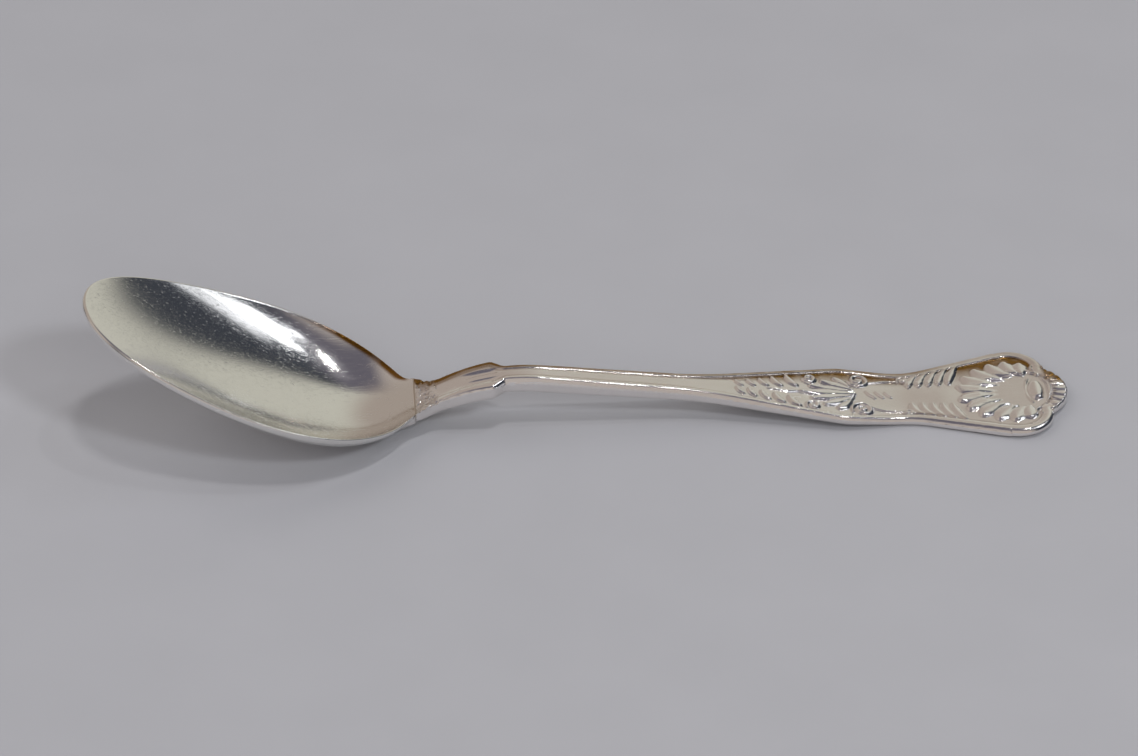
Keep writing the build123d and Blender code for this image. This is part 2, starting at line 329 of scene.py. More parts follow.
@dataclass(frozen=True)
class SilverSolder(PolishedSilver):
    """Silver solder, run by flame and filed: duller and yellower than the silver."""

    name: str = "silver_solder_filed"
    silver: str = "#CFC5B6"
    tarnish_and_reflection: str = "#6E5130"
    roughness: float = 0.3
    worn_roughness: float = 0.45
    scratch_gap_mm: float = 0.25
    scratch_bump: float = 0.3
    bloom_mm: float = 1.0


@dataclass(frozen=True)
class MattTable:
    """Grey coated board: even and matt, with a faint mottle."""

    name: str = "grey_board_coated"
    pale: str = "#ADADB0"
    dark: str = "#A7A7AA"
    roughness: float = 0.75
    mottle_mm: float = 18.0

    def make(self) -> bpy.types.Material:
        """Builds the material.

        Returns:
            The material.
        """
        material = bpy.data.materials.new(self.name)
        material.use_nodes = True
        tree = material.node_tree
        shader = tree.nodes["Principled BSDF"]
        shader.inputs["Roughness"].default_value = self.roughness
        place = add_node(tree, "ShaderNodeTexCoord").outputs["Object"]
        mottle = add_noise(tree, place, self.mottle_mm, detail=4.0)
        colour = add_mix(tree, mottle, linear(self.dark), linear(self.pale))
        tree.links.new(colour, shader.inputs["Base Color"])
        return material


@dataclass(frozen=True)
class Bowl:
    """The struck bowl, in the plane of its rim; sizes in millimetres."""

    joint_x: float = -23.4767
    joint_height: float = 3.42
    joint_half: float = 4.5
    run: float = 45.15
    tilt_deg: float = 23.3
    sag: float = 0.95
    half_width: float = 15.35
    heel_spread: float = 2.15
    end_spread: float = 0.45
    heel_point: float = 2.1
    depth: float = 4.0
    heel_depth: float = 3.4
    end_depth: float = 1.25
    fullness: float = 0.26
    heel_fullness: float = 0.72
    upturn: float = 0.3
    wall: float = 0.75
    rim_swell: float = 0.3
    rim_round: float = 0.45
    swell_span: Span = (0.55, 0.95)  # shares of the way to the rim
    joint_fade: float = 2.4  # run-out of the rim's rounding
    fan_share: float = 0.46  # middle of the rings, as a share of the length
    # Painted reflection: a warm brown line along the far rim near the heel, in the tarnish colour
    painted_reflection_along: Span = (-41.0, -31.0)
    painted_reflection_across: Span = (1.0, 4.0)
    painted_reflection_stop: Span = (-23.9, -24.8)
    painted_reflection_rim: Span = (0.98, 1.0)
    trace_points: int = 4001
    seat_steps: int = 15
    rim_settle_steps: int = 20
    rings: int = 96
    side_points: int = 190
    joint_points: int = 40
    rim_steps: int = 10

    @property
    def tilt(self) -> float:
        """Tilt of the rim in radians."""
        return math.radians(self.tilt_deg)

    @property
    def length(self) -> float:
        """Length of the bowl along the plane of its rim."""
        return self.run / math.cos(self.tilt)

    @property
    def square(self) -> Array:
        """Direction square to the plane of the rim, upwards."""
        return np.array([math.sin(self.tilt), 0.0, math.cos(self.tilt)])

    def egg(self, share: Array) -> Array:
        """Half-width of the oval that the rim follows, at a share of the way to the tip."""
        width = self.half_width - self.heel_spread * share
        return width + self.end_spread * share**2 + self.heel_point * share**3

    def floor(self, along: Array, across: Array) -> Array:
        """Height of the inner face over the plane of the rim.

        Args:
            along: Distances from the joint towards the tip.
            across: Distances from the middle line.

        Returns:
            Heights, negative inside the bowl.
        """
        share = 2 * along / self.length - 1
        part = share**2 + (across / self.egg(share)) ** 2
        depth = self.depth - self.heel_depth * share + self.end_depth * share**2
        fullness = self.fullness - self.heel_fullness * share
        upturn = self.upturn * np.maximum(1 - share**2, 0) * part**3
        return -depth * (1 - part) * (1 + fullness * part + upturn) - self.sag * (1 - share**2)

    def place(self, plan: Array) -> Array:
        """Points of the inner face in the shared frame.

        Args:
            plan: Distances along and across, in the last axis.

        Returns:
            Points, in the last axis.
        """
        along, across = plan[..., 0], plan[..., 1]
        height = self.floor(along, across)
        x = self.joint_x - along * math.cos(self.tilt) + height * math.sin(self.tilt)
        z = self.joint_height + along * math.sin(self.tilt) + height * math.cos(self.tilt)
        return np.stack([x, across, z], axis=-1)

    def underside(self, x: Array, across: Array) -> Array:
        """Height of the outer face above the table.

        Args:
            x: Places along X in the shared frame.
            across: Distances from the middle line.

        Returns:
            Heights at these places.
        """
        along = (self.joint_x - x) / math.cos(self.tilt)
        height = np.zeros_like(along)
        for _ in range(self.seat_steps):
            height = self.floor(along, across) - self.wall
            along = (self.joint_x - x + height * math.sin(self.tilt)) / math.cos(self.tilt)
        return self.joint_height + along * math.sin(self.tilt) + height * math.cos(self.tilt)

    def rim(self) -> tuple[Array, Array]:
        """Line of the rim, from the tip round by the far side, the joint and the near side.

        Returns:
            Distances along and across, and the share of the full rounding that the rim has there.
        """
        angle = np.linspace(0, math.pi, self.trace_points)
        share = np.cos(angle)
        throat = self.joint_half * ((1 - share) / 2) ** 4
        half = ((self.egg(share) * np.sin(angle)) ** 4 + throat**4) ** 0.25
        along = self.length * (1 + share) / 2
        ahead = along * math.cos(self.tilt) - self.floor(along, half) * math.sin(self.tilt)
        side = np.column_stack([along, half])[: int(np.argmax(ahead < 0))]
        run = np.concatenate([[0], np.cumsum(np.hypot(*np.diff(side, axis=0).T))])
        even = np.linspace(0, run[-1], self.side_points)
        side = np.column_stack([np.interp(even, run, side[:, k]) for k in (0, 1)])
        across = np.linspace(side[-1, 1], -side[-1, 1], self.joint_points + 2)[1:-1]
        line = np.zeros_like(across)
        for _ in range(self.rim_settle_steps):
            line = math.tan(self.tilt) * self.floor(line, across)
        rounding = ramp(0.0, self.joint_fade, run[-1] - even)
        points = np.concatenate([side, np.column_stack([line, across]), side[:0:-1] * (1, -1)])
        return points, np.concatenate([rounding, np.zeros(self.joint_points), rounding[:0:-1]])

    def build(self) -> Piece:
        """Builds the bowl as one closed skin: inner face, rounded rim and outer face.

        Returns:
            The mesh object.
        """
        line, rounding = self.rim()
        centre = np.array([self.fan_share * self.length, 0.0])
        spoke = line - centre
        edge = 1 - self.rim_round * rounding / np.linalg.norm(spoke, axis=1)
        rings = np.sin(np.linspace(1 / self.rings, 1, self.rings) * math.pi / 2)
        inner = self.place(centre + (rings[:, None] * edge)[:, :, None] * spoke)
        swell = ramp(*self.swell_span, rings)
        thick = self.wall + self.rim_swell * swell[:, None] * rounding
        down = thick[:, :, None] * self.square
        out = self.place(line) - inner[-1]
        turn = np.linspace(0, math.pi, self.rim_steps + 2)[1:-1]
        rim = [inner[-1] - down[-1] * (1 - math.cos(t)) / 2 + out * math.sin(t) for t in turn]
        skin = np.concatenate([inner, rim, (inner - down)[::-1]])
        count, columns = skin.shape[:2]
        middle = self.place(centre)
        points = np.concatenate([skin.reshape(-1, 3), [middle, middle - self.wall * self.square]])
        faces = wrap_grid(count, columns)
        first, last = len(points) - 2, (count - 1) * columns
        for k in range(columns):
            n = (k + 1) % columns
            faces += [(first, n, k), (first + 1, last + k, last + n)]
        piece = mesh_object("polished_bowl", points, faces)
        level = np.concatenate([rings, [1.0] * self.rim_steps, rings[::-1]])
        self.shade(piece, points, np.concatenate([np.repeat(level, columns), [0.0, 0.0]]))
        return piece

    def shade(self, piece: Piece, points: Array, outer: Array) -> None:
        """Stores where a painted warm reflection lies: along the far rim, from the widest part to the heel.

        Args:
            piece: The bowl.
            points: Its points in millimetres.
            outer: 0 in the middle of the bowl, 1 at the rim.
        """
        heel = ramp(*self.painted_reflection_along, points[:, 0])
        far = ramp(*self.painted_reflection_across, points[:, 1])
        away = ramp(*self.painted_reflection_stop, points[:, 0])
        # painted reflection of a warm part of the room, stored as the share of the tarnish colour
        paint(piece, "tarnish_and_reflection", heel * far * away * ramp(*self.painted_reflection_rim, outer))

    def dress(self, piece: Piece) -> None:
        """Gives the bowl its finish and its place in the frame.

        Args:
            piece: The bowl.
        """
        piece.data.materials.append(PolishedSilver().make())
        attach(piece, "root")
        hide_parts("bowl")


@dataclass(frozen=True)
class Stroke:
    """One raised stroke of the ornament: a bent line with a width that swells and tapers."""

    path: Line
    widths: tuple[float, ...]
    height: float
    steps: int = 8

    def points(self) -> tuple[Array, Array]:
        """Points along the stroke, where a path of three points is one smooth bend.

        Returns:
            The points, and the half-width at each.
        """
        t = np.linspace(0, 1, self.steps * len(self.path))
        line = np.array(self.path)
        if len(self.path) == 3:
            pull = [(1 - t) ** 2, 2 * t * (1 - t), t**2]
            x, y = [sum(pull[i] * line[i, axis] for i in range(3)) for axis in (0, 1)]
        else:
            knots = np.linspace(0, 1, len(self.path))
            x, y = [np.interp(t, knots, line[:, axis]) for axis in (0, 1)]
        widths = np.interp(t, np.linspace(0, 1, len(self.widths)), self.widths)
        return np.column_stack([x, y]), widths / 2


def mirror(path: Line, sign: int) -> Line:
    """Puts a path that is given for the far side on the side with this sign of Y."""
    return tuple((x, sign * y) for x, y in path)


@dataclass(frozen=True)
class Ornament:
    """Relief on the handle in the traditional shell-and-thread manner.

    Places are X and Y of the shared frame in millimetres, given for the far side.
    """

    lobes: tuple[Line, ...] = (
        ((58.9, 0.45), (55.7, 0.6), (53.9, 1.6)),
        ((59.3, 1.8), (56.4, 2.1), (54.8, 3.7)),
        ((60.2, 2.9), (57.6, 3.4), (56.4, 5.3)),
        ((61.3, 3.8), (59.3, 4.5), (58.6, 6.4)),
        ((62.3, 4.3), (61.0, 5.0), (60.8, 6.8)),
        ((63.1, 4.0), (62.6, 4.9), (62.9, 6.3)),
    )
    petals: tuple[tuple[Line, float], ...] = (
        (((38.5, 0.5), (35.9, 0.9), (32.7, 1.5)), 1.1),
        (((38.4, 1.0), (36.6, 1.9), (34.4, 2.8)), 1.15),
        (((38.0, 1.7), (37.3, 2.8), (36.2, 3.6)), 1.05),
    )
    husk_spots: tuple[Corner, ...] = (
        (22.2, 0.9, 0.8), (23.9, 1.2, 0.9), (25.7, 1.6, 1.0), (27.6, 2.0, 1.15), (29.7, 2.5, 1.3),
    )
    cuts: tuple[Point, ...] = ((40.9, 1.0), (42.2, 0.85), (43.4, 0.7))  # place along and size
    flutes: int = 9
    flute_step_deg: float = 11.5
    flute_radii: Corner = (5.75, 6.7, 7.6)
    fan_eye: float = 61.2
    fan_squash: float = 0.94
    leaf_fingers: int = 5
    leaf_root: Point = (46.6, 2.2)
    leaf_step: Point = (1.45, 0.12)
    volute_points: int = 24
    volute_start_deg: float = 200.0
    volute_shrink: float = 0.72
    bead_share: float = 0.7

    def shell(self, sign: int) -> list[Stroke]:
        """Lobes round the hollow of the shell on one side, each hooked outwards, and the curl at the end."""
        strokes = [Stroke(mirror(path, sign), (0.6, 1.6, 2.5, 2.7, 1.4), 0.44) for path in self.lobes]
        return strokes + self.volute((65.0, sign * 5.3), 1.25, sign, 1.2)

    def end(self) -> list[Stroke]:
        """Boss with its rings, and the flutes along the end of the shell.

        Returns:
            The strokes.
        """
        boss = Stroke(((64.5, -1.45), (64.4, 0.0), (64.5, 1.45)), (1.8, 2.3, 2.5, 2.3, 1.8), 0.55)
        outer_ring = Stroke(((65.5, -3.2), (67.4, 0.0), (65.5, 3.2)), (0.35, 0.7, 0.35), 0.34)
        inner_ring = Stroke(((63.7, -2.9), (62.3, 0.0), (63.7, 2.9)), (0.3, 0.55, 0.3), 0.24)
        strokes = [boss, outer_ring, inner_ring]
        for i in range(self.flutes):
            a = math.radians(self.flute_step_deg * (i - (self.flutes - 1) / 2))
            along, across = math.cos(a), self.fan_squash * math.sin(a)
            path = tuple((self.fan_eye + r * along, r * across) for r in self.flute_radii)
            strokes.append(Stroke(path, (0.9, 1.4, 1.7), 0.34))
        return strokes

    def leaves(self, sign: int) -> list[Stroke]:
        """Leaf on the flare of the end, petals of the palmette, and scrolls on one side.

        Args:
            sign: Sign of Y on that side.

        Returns:
            The strokes.
        """
        strokes = []
        for i in range(self.leaf_fingers):
            x, y = [root + i * step for root, step in zip(self.leaf_root, self.leaf_step)]
            path = ((x, y), (x - 0.1, y + 1.4), (x + 1.35, y + 2.5 + 0.3 * i))
            strokes.append(Stroke(mirror(path, sign), (0.8, 1.5, 1.6, 0.8), 0.4))
        for path, width in self.petals:
            strokes.append(Stroke(mirror(path, sign), (0.5, 1.1 * width, 1.5 * width, 1.0), 0.36))
        stalk = ((40.7, 2.9), (42.6, 3.8), (45.2, 3.7))
        strokes.append(Stroke(mirror(stalk, sign), (0.3, 0.6, 0.3), 0.24))
        strokes += self.volute((32.5, sign * 3.3), 1.0, sign, 1.2)
        strokes += self.volute((39.5, sign * 3.6), 1.6, sign, 1.5)
        return strokes + self.volute((45.9, sign * 4.0), 0.75, -sign, 1.1)

    def husks(self, sign: int) -> list[Stroke]:
        """Husks that grow along one side of the stem, all slanted the same way.

        Args:
            sign: Sign of Y on that side.

        Returns:
            The strokes.
        """
        strokes = []
        for x, y, size in self.husk_spots:
            head = (x - 0.35 * size, sign * y + 0.75 * size)
            foot = (x + 0.55 * size, sign * y - 0.75 * size)
            widths = (0.5 * size, 1.0 * size, 1.1 * size, 0.8 * size)
            strokes.append(Stroke((head, (x - 0.2 * size, sign * y), foot), widths, 0.2 + 0.1 * size))
        return strokes

    def volute(self, centre: Point, radius: float, sign: int, turns: float) -> list[Stroke]:
        """A scroll: a thread wound inwards round a bead.

        Args:
            centre: Middle of the scroll.
            radius: Outer radius of the thread.
            sign: Way that it winds.
            turns: Number of turns.

        Returns:
            The thread and the bead.
        """
        path = []
        for t in np.linspace(0, 1, self.volute_points):
            a = math.radians(self.volute_start_deg) + sign * 2 * math.pi * turns * t
            r = radius * (1 - self.volute_shrink * t)
            path.append((centre[0] + r * math.cos(a), centre[1] + r * math.sin(a)))
        size = self.bead_share * radius
        bead = Stroke((centre, (centre[0] + 0.05, centre[1])), (size, size), 0.32)
        return [Stroke(tuple(path), (0.5, 0.75, 0.7, 0.55), 0.34), bead]

    def middle(self) -> list[Stroke]:
        """Central petal, the small leaf and the slanted cuts on the middle line.

        Returns:
            The strokes.
        """
        petal = Stroke(((38.7, 0.0), (36.0, 0.0), (31.2, 0.0)), (0.6, 1.4, 1.9, 1.1), 0.38)
        leaf = Stroke(((31.0, 0.0), (29.5, 0.0), (26.4, 0.0)), (0.4, 1.2, 0.3), 0.22)
        strokes = [petal, leaf]
        for x, size in self.cuts:
            path = ((x - 0.6 * size, 0.8 * size), (x, 0.0), (x + 0.6 * size, -0.8 * size))
            strokes.append(Stroke(path, (0.3, 0.8 * size, 0.3), 0.3))
        return strokes

    def strokes(self) -> list[Stroke]:
        """All strokes of the ornament.

        Returns:
            The strokes, in no set order.
        """
        strokes = self.middle() + self.end()
        for side in Side:
            strokes += self.shell(side.value) + self.leaves(side.value) + self.husks(side.value)
        return strokes


@dataclass(frozen=True)
class Swell:
    """A long low swelling of the metal, or a groove of that shape, by places from the joint."""

    height: float
    half_width: float
    rise: Span = (-2.0, -1.0)
    fall: Span = (93.0, 94.0)

    def at(self, x: Array, y: Array) -> Array:
        """Height at places along and at distances from the swelling's own middle line."""
        along = ramp(*self.rise, x) * (1 - ramp(*self.fall, x))
        return self.height * along * np.maximum(1 - (y / self.half_width) ** 2, 0)


@dataclass(frozen=True)
class Trough:
    """A round channel, or a belly of that shape, that climbs along X from the joint."""

    slope: float
    radius: float
    reach: float

    def at(self, x: Array, y: Array) -> Array:
        """Height over its lowest point at the joint, at places along and at places across up to the reach."""
        sides = self.radius - np.sqrt(self.radius**2 - np.minimum(np.abs(y), self.reach) ** 2)
        return math.tan(self.slope) * x + sides / math.cos(self.slope)


@dataclass(frozen=True)
class HandleTarnishAndReflection:
    """Where tarnish and painted reflection lie on the handle, in shares from 0 for bright to 1 for brown.

    Tarnish lies in the hollows and grooves; the far side also gets painted reflection of a warm part of the
    room. Rises and falls lie along X from the joint, and spans across, as shares of the half-width or the
    thread.
    """

    veil: float = 0.06  # tarnish on all hollows, painted reflection on the far side
    # painted reflection on the sunk field of the far side
    far_field_reflection: float = 0.85
    groove: float = 0.25
    # painted reflection along the far thread
    thread: float = 0.8
    far_thread_fade: float = 0.8  # share of the far thread's painted reflection that fades away towards the end
    # painted reflection along the far edge of the neck
    neck: float = 0.6
    # tarnish in the sunk recess at the end, laid on the far side only as painted reflection
    recess: float = 0.7
    # painted reflection on the far half of the shell's flutes
    shell: float = 0.8
    under: float = 0.1
    far_reflection_span: Span = (0.1, 0.8)
    field_span: Span = (0.35, 0.85)
    neck_span: Span = (0.35, 0.8)
    neck_rise: Span = (0.5, 4.0)
    neck_fall: Span = (14.0, 30.0)
    ornament_rise: Span = (16.0, 30.0)
    crest: float = 0.25  # height that the cloth reaches
    inside_span: Span = (0.85, 1.1)
    groove_at: float = 1.05
    groove_half: float = 0.25
    thread_span: Span = (1.1, 0.2)
    far_thread_fade_rise: Span = (70.0, 78.0)
    recess_at: Point = (84.5, 7.0)
    recess_squash: float = 1.5
    recess_span: Span = (4.5, 2.5)
    shell_rise: Span = (89.0, 90.0)

    def at(self, x: Array, y: Array, side: Array, inward: Array, relief: Array) -> Array:
        """Amount of tarnish and painted reflection on the top.

        Args:
            x: Places from the joint.
            y: Places across.
            side: Places across as shares of the half-width.
            inward: Distances from the outline as shares of the thread's width.
            relief: Ornament height.

        Returns:
            Amounts, which can pass 1.
        """
        # far side: painted reflection; low relief: tarnish in the hollows
        far = ramp(*self.far_reflection_span, side)
        hollow = 1 - np.clip(relief / self.crest, 0, 1)
        sunk = hollow * ramp(*self.inside_span, inward)
        brown = self.veil * (far + hollow) + self.far_field_reflection * ramp(*self.field_span, side) * sunk
        groove = ramp(self.groove_half, 0.0, np.abs(inward - self.groove_at))
        kept = 1 - self.far_thread_fade * ramp(*self.far_thread_fade_rise, x)
        thread = far * ramp(*self.thread_span, inward) * kept
        near_neck = ramp(*self.neck_rise, x) * (1 - ramp(*self.neck_fall, x))
        neck = ramp(*self.neck_span, side) * near_neck
        away = np.hypot(x - self.recess_at[0], self.recess_squash * (y - self.recess_at[1]))
        recess = ramp(*self.recess_span, away) * sunk
        shell = far * ramp(*self.shell_rise, x)
        amount = brown * ramp(*self.ornament_rise, x) + self.groove * groove + self.thread * thread
        return amount + self.neck * neck + self.recess * recess + self.shell * shell


@dataclass(frozen=True)
class Handle:
    """The struck handle with its tongue under the bowl; places along X from the joint, in millimetres."""

    bowl: Bowl = field(default_factory=Bowl)
    ornament: Ornament = field(default_factory=Ornament)
    # shares of tarnish in the hollows and of painted reflection along the far side
    tarnish_and_reflection: HandleTarnishAndReflection = field(default_factory=HandleTarnishAndReflection)
    start: float = 0.15
    run: float = 92.4
    tongue: float = 10.5
    tongue_half: float = 3.0
    tongue_end_half: float = 2.2
    tip_half: float = 0.01  # half-width that is left at the very ends
    tip_run: float = 2.2
    neck_end: float = 15.0
    flare_start: float = 44.0
    top: Rounded = Rounded(
        ((0, 5.02, 0), (2.0, 5.1, 3.0), (12.1, 8.6, 26.0), (67.5, 1.3, 40.0), (93.4, 1.7, 0))
    )
    under: Rounded = Rounded(
        (
            (-11.5, 0.35, 0), (-9.0, 0, 8.0), (-3.4, 0, 4.0), (2.6, 2.9, 10.0), (12.1, 6.0, 23.4),
            (68.0, 0, 40.0), (82.0, 0, 40.0), (93.4, 0.55, 0),
        )
    )
    outline: Rounded = Rounded(
        (
            (0, 4.5, 0), (2.6, 2.75, 4.0), (11.0, 3.35, 1.2), (12.8, 1.95, 1.2), (40.0, 2.3, 50.0),
            (60.2, 6.45, 10.0), (70.0, 5.75, 12.0), (83.2, 10.0, 0),
        )
    )
    hollow: Trough = Trough(math.radians(26.5), 12.0, 6.0)
    hollow_blend: float = 0.1
    furrow: Swell = Swell(0.3, 2.2, (3.0, 6.5))
    flute: Swell = Swell(0.22, 0.6, (5.5, 9.0))
    flute_at: float = 0.95
    belly: Trough = Trough(math.radians(15.0), 6.2, 5.5)
    belly_height: float = 1.643
    belly_end: Span = (8.0, 13.0)
    belly_sink: float = 40.0  # ends the belly past the neck
    joint_sink: float = 0.3
    joint_fade: Span = (3.0, 0.0)
    flare_end: float = 83.2
    lobe_at: float = 84.8
    lobe_half: float = 10.1
    lobe_radius: float = 5.0
    horn_at: float = 89.7
    horn_lead: float = 0.02
    shell_half: float = 5.4
    shell_overlap: float = 0.5
    shell_drop: float = 0.2
    shell_blend: Span = (89.3, 90.0)
    shell_hollow: float = 0.45
    shell_hollow_at: float = 83.7
    shell_hollow_half: Point = (3.8, 3.6)
    field_depth: float = 0.34
    spine: Swell = Swell(0.26, 3.4, (60.0, 67.0), (74.0, 79.0))
    crown: Swell = Swell(0.2, 1.9, fall=(46.0, 56.0))
    thread: float = 1.2
    end_thread: float = 1.7
    thread_rise: Span = (60.0, 80.0)
    relief_rise: Span = (0.55, 1.0)  # shares of the thread's width
    crest_power: float = 0.85
    stem_rise: Span = (10.4, 13.0)
    edge_round: float = 0.45
    joint_round: float = 0.08
    tongue_round: float = 0.12
    neck_round: float = 0.42
    neck_rise: Span = (0.3, 4.0)
    neck_under_round: float = 0.3
    neck_under_rise: Span = (0.5, 4.0)
    neck_under_fall: Span = (11.0, 15.0)
    pit_count: int = 110
    pit_seed: int = 5
    pit_least: Corner = (0.5, -4.0, 0.16)
    pit_range: Corner = (2.7, 8.0, 0.25)
    pit_depth: float = 0.6  # share of a pit's radius
    heat_rise: Span = (0.1, 0.5)
    heat_fall: Span = (4.0, 2.0)
    least_thickness: float = 0.06
    bunching: float = 0.45  # how far points are drawn towards the edges
    across: int = 151
    across_under: int = 41
    wall_steps: int = 5

    def in_tongue(self, x: Array) -> Array:
        """Tells which places lie on the tongue, just short of the neck's first section."""
        return x < self.start - 0.01

    def half_width(self, x: Array) -> Array:
        """Half-width of the outline, from the tongue to the shell.

        Args:
            x: Places from the joint.

        Returns:
            Half-widths at these places.
        """
        least = self.tip_half**2
        side = np.sqrt(np.maximum(self.lobe_radius**2 - (x - self.lobe_at) ** 2, 0))
        lobe = self.lobe_half - self.lobe_radius + side
        width = np.where(x > self.flare_end, lobe, self.outline.at(x))
        arc = self.run - self.horn_at + self.shell_overlap
        radius = (arc**2 + self.shell_half**2) / (2 * arc)
        shell = np.sqrt(np.maximum(radius**2 - (x - self.run + radius) ** 2, least))
        width = np.where(x > self.horn_at - self.horn_lead, np.minimum(shell, width), width)
        taper = self.tongue_half + (self.tongue_half - self.tongue_end_half) * x / self.tongue
        past = x + self.tongue - self.tongue_end_half
        tail = np.sqrt(np.maximum(self.tongue_end_half**2 - np.minimum(past, 0) ** 2, least))
        return np.where(self.in_tongue(x), np.minimum(taper, tail + np.maximum(past, 0)), width)

    def thread_width(self, x: Array) -> Array:
        """Width of the threads, which grows towards the end."""
        return self.thread + (self.end_thread - self.thread) * ramp(*self.thread_rise, x)

    def places(self) -> Array:
        """Places of the cross-sections, closer together on the ornament and at both ends.

        Returns:
            Places from the joint, in order.
        """
        t = np.linspace(0, 1, 190)
        tail = -self.tongue + self.tongue_end_half * (1 - np.cos(t[::8] * math.pi / 2))
        tip = self.horn_at - self.tip_run
        return np.concatenate(
            [
                tail[:-1],
                np.linspace(tail[-1], self.start - 0.05, 40),
                self.start + np.array([0, 0.03, 0.1]),
                np.linspace(self.start + 0.2, self.neck_end, 150, endpoint=False),
                np.linspace(self.neck_end, self.flare_start, 120, endpoint=False),
                np.linspace(self.flare_start, tip, 400, endpoint=False),
                tip + (self.run - tip) * np.sin(t * math.pi / 2),
            ]
        )

    def edge_distance(self, x: Array, y: Array) -> Array:
        """Distance of points in plan from the outline.

        Args:
            x: Places from the joint.
            y: Places across.

        Returns:
            Distances in millimetres.
        """
        # Closest together where the outline turns across, at the lobes and at the end of the shell
        line = np.concatenate(
            [
                np.linspace(self.start, 83, 800),
                np.linspace(83, 88, 200),
                self.run - np.linspace(2.2, 0, 60) ** 2,
                np.linspace(88, self.run, 500),
            ]
        )
        half = self.half_width(line)
        tree = KDTree(2 * len(line))
        for i, (a, b) in enumerate(zip(line, half)):
            tree.insert((a, b, 0), 2 * i)
            tree.insert((a, -b, 0), 2 * i + 1)
        tree.balance()
        flat = [tree.find((a, b, 0))[2] for a, b in zip(x.ravel(), y.ravel())]
        return np.array(flat).reshape(x.shape)

    def relief(self, x: Array, y: Array) -> Array:
        """Height of the ornament over the sunk field.

        Args:
            x: Places along X in the shared frame.
            y: Places across.

        Returns:
            Heights in millimetres.
        """
        height = np.zeros_like(x)
        for stroke in self.ornament.strokes():
            centres, radii = stroke.points()
            reach = radii.max()
            low, high = centres.min(0) - reach, centres.max(0) + reach
            near = (x > low[0]) & (x < high[0]) & (y > low[1]) & (y < high[1])
            gap = np.hypot(x[near][:, None] - centres[:, 0], y[near][:, None] - centres[:, 1]) / radii
            crest = stroke.height * np.maximum(1 - gap.min(1) ** 2, 0) ** self.crest_power
            height[near] = np.maximum(height[near], crest)
        return height

    def neck(self, x: Array, y: Array, depth: Array) -> Array:
        """Top of the neck: a channel that carries the bowl's floor on, between rounded edges.

        Args:
            x: Places from the joint.
            y: Places across.
            depth: Distances from the outline.

        Returns:
            Heights above the table.
        """
        hollow = self.bowl.joint_height + self.hollow.at(x, y)
        crest = self.top.at(x)
        soft = self.hollow_blend
        joined = -soft * np.log(np.exp((crest - hollow) / soft) + 1) + crest
        flutes = self.flute.at(x, y + self.flute_at) + self.flute.at(x, y - self.flute_at)
        edge = self.joint_round + self.neck_round * ramp(*self.neck_rise, x)
        return joined - self.furrow.at(x, y) - flutes - self.pitting(x, y) - self.rounding(depth, edge)

    def pitting(self, x: Array, y: Array) -> Array:
        """Depth of the small dents that heat and filing have left beside the seam.

        Args:
            x: Places from the joint.
            y: Places across.

        Returns:
            Depths in millimetres.
        """
        depth = np.zeros_like(x)
        draws = np.random.default_rng(self.pit_seed).random((self.pit_count, 3))
        for a, b, size in draws * self.pit_range + self.pit_least:
            near = np.maximum(1 - ((x - a) ** 2 + (y - b) ** 2) / size**2, 0)
            depth = np.maximum(depth, self.pit_depth * size * near)
        return depth

    def rounding(self, depth: Array, radius: Array | float) -> Array:
        """Drop of an edge that is rounded to a radius, at distances from the outline."""
        inward = np.maximum(radius - depth, 0)
        return radius - np.sqrt(np.maximum(radius**2 - inward**2, 0))

    def struck(self, x: Array, y: Array, depth: Array, relief: Array) -> Array:
        """Height of the struck face over the plain top line: threads, sunk field, spine and ornament.

        Args:
            x: Places from the joint.
            y: Places across.
            depth: Distances from the outline.
            relief: Heights of the ornament.

        Returns:
            Heights in millimetres, mostly negative.
        """
        inward = depth / self.thread_width(x)
        turn = np.clip(inward, 0, 1) * 2 - 1
        thick = self.top.at(x) - np.maximum(self.under.at(x), 0)
        drop = np.where(turn < 0, thick / 2, self.field_depth)
        thread = drop * (np.sqrt(np.maximum(1 - turn**2, 0)) - 1)
        along, across = self.shell_hollow_half
        dish = np.maximum(1 - ((x - self.shell_hollow_at) / along) ** 2 - (y / across) ** 2, 0)
        level = self.spine.at(x, y) + self.crown.at(x, y) - self.field_depth - self.shell_hollow * dish
        level = level + relief * ramp(*self.relief_rise, inward)
        face = np.where(turn < 0, thread, np.maximum(thread, level))
        shell = relief - self.shell_drop - self.rounding(depth, self.edge_round)
        blend = ramp(*self.shell_blend, x)
        return face * (1 - blend) + shell * blend

